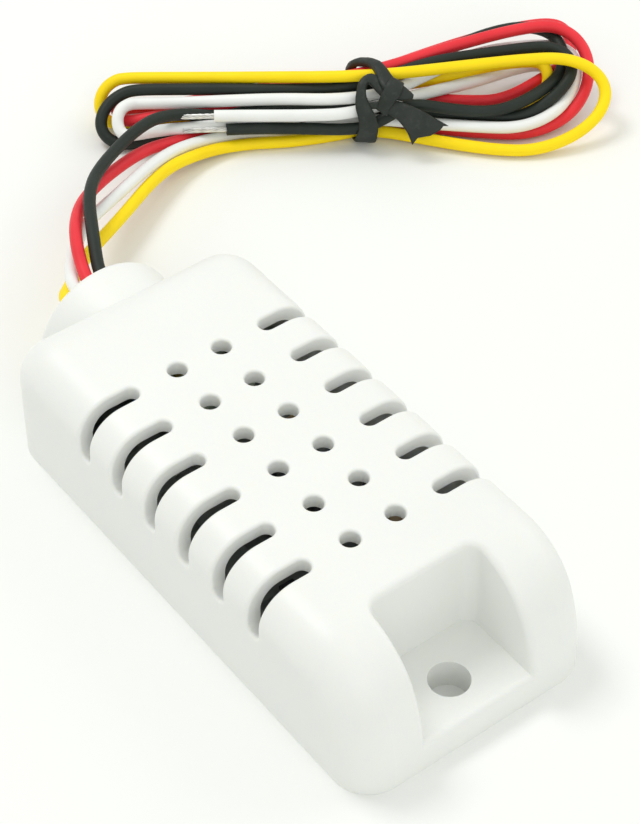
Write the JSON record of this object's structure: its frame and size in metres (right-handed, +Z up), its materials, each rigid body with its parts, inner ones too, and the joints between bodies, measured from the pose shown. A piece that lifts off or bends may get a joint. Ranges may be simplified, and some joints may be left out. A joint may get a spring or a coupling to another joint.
{
  "type": "temperature humidity sensor module",
  "caption": "Wired temperature and humidity sensor in a vented white casing with a recessed screw tab, a cable boss and a tied hank of leads with tinned ends.",
  "frame": {"origin": "centre of the casing's underside, on the surface it lies on", "axes": "+Z up, +Y to the cable end, +X across the casing, right when seen from the screw tab"},
  "size_m": [0.0841, 0.0954, 0.0138],
  "materials": {
    "casing": "fine matt moulded off-white",
    "board": "black solder resist",
    "chip_plastic": "matt black epoxy",
    "tinned_metal": "dull tin",
    "capacitor_ceramic": "fired tan ceramic",
    "resistor_film": "glassy black film",
    "element_ceramic": "pale greenish ceramic",
    "electrode_gold": "thin gold film",
    "thermistor_glaze": "glossy dipped bead",
    "solder": "bright solder",
    "glue": "cloudy hot glue",
    "wire_yellow": "semi-gloss flexible PVC",
    "wire_white": "semi-gloss flexible PVC",
    "wire_red": "semi-gloss flexible PVC",
    "wire_black": "semi-gloss flexible PVC",
    "tie_plastic": "soft matt black plastic strip"
  },
  "bodies": {
    "root": {"top_shell": "casing", "back_cover": "casing", "circuit_board": "board", "microcontroller": "chip_plastic", "microcontroller_legs": "tinned_metal", "voltage_regulator": "chip_plastic", "voltage_regulator_legs": "tinned_metal", "ceramic_capacitors": "capacitor_ceramic", "chip_resistors": "resistor_film", "humidity_element": "element_ceramic", "sensing_electrodes": "electrode_gold", "humidity_element_legs": "tinned_metal", "thermistor": "thermistor_glaze", "thermistor_legs": "tinned_metal", "solder_joints": "solder", "strain_relief_glue": "glue", "inner_wire_yellow": "wire_yellow", "lead_yellow": "wire_yellow", "hank_yellow": "wire_yellow", "tinned_end_yellow": "tinned_metal", "inner_wire_white": "wire_white", "lead_white": "wire_white", "hank_white": "wire_white", "tinned_end_white": "tinned_metal", "inner_wire_red": "wire_red", "lead_red": "wire_red", "hank_red": "wire_red", "tinned_end_red": "tinned_metal", "inner_wire_black": "wire_black", "lead_black": "wire_black", "hank_black": "wire_black", "tinned_end_black": "tinned_metal", "twist_tie": "tie_plastic"}
  },
  "joints": []
}
